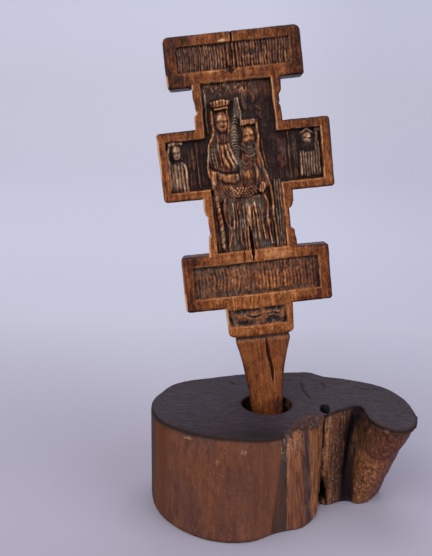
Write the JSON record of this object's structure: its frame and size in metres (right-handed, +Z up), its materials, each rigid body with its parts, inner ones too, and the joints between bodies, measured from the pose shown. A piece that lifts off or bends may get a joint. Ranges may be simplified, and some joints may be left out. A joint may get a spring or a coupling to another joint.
{
  "type": "carved hand cross on stump stand",
  "caption": "Carved wooden hand cross with framed relief panels and hatched bars, standing loose in a socket bored in a slab of tree stump.",
  "frame": {"origin": "middle of the whole object's footprint box, on the surface that it stands on", "axes": "+Z up, -Y the carved front, +X to the viewer's right"},
  "size_m": [0.1538, 0.11, 0.2744],
  "materials": {
    "oiled_carved_wood": "worn oiled carved wood, honey brown on the raised frames and dark grey brown in the sunk fields",
    "aged_stump_wood": "aged dry hardwood, dark grey brown sawn top and reddish brown streaked sides"
  },
  "bodies": {
    "stump": {"stump_base": "aged_stump_wood"},
    "cross": {"hand_cross": "oiled_carved_wood"}
  },
  "joints": [
    {"name": "lift_out", "type": "slide", "parent": "stump", "child": "cross", "axis": [-0.1271, 0.2045, 0.9706], "range_m": [0, 0.06]}
  ]
}
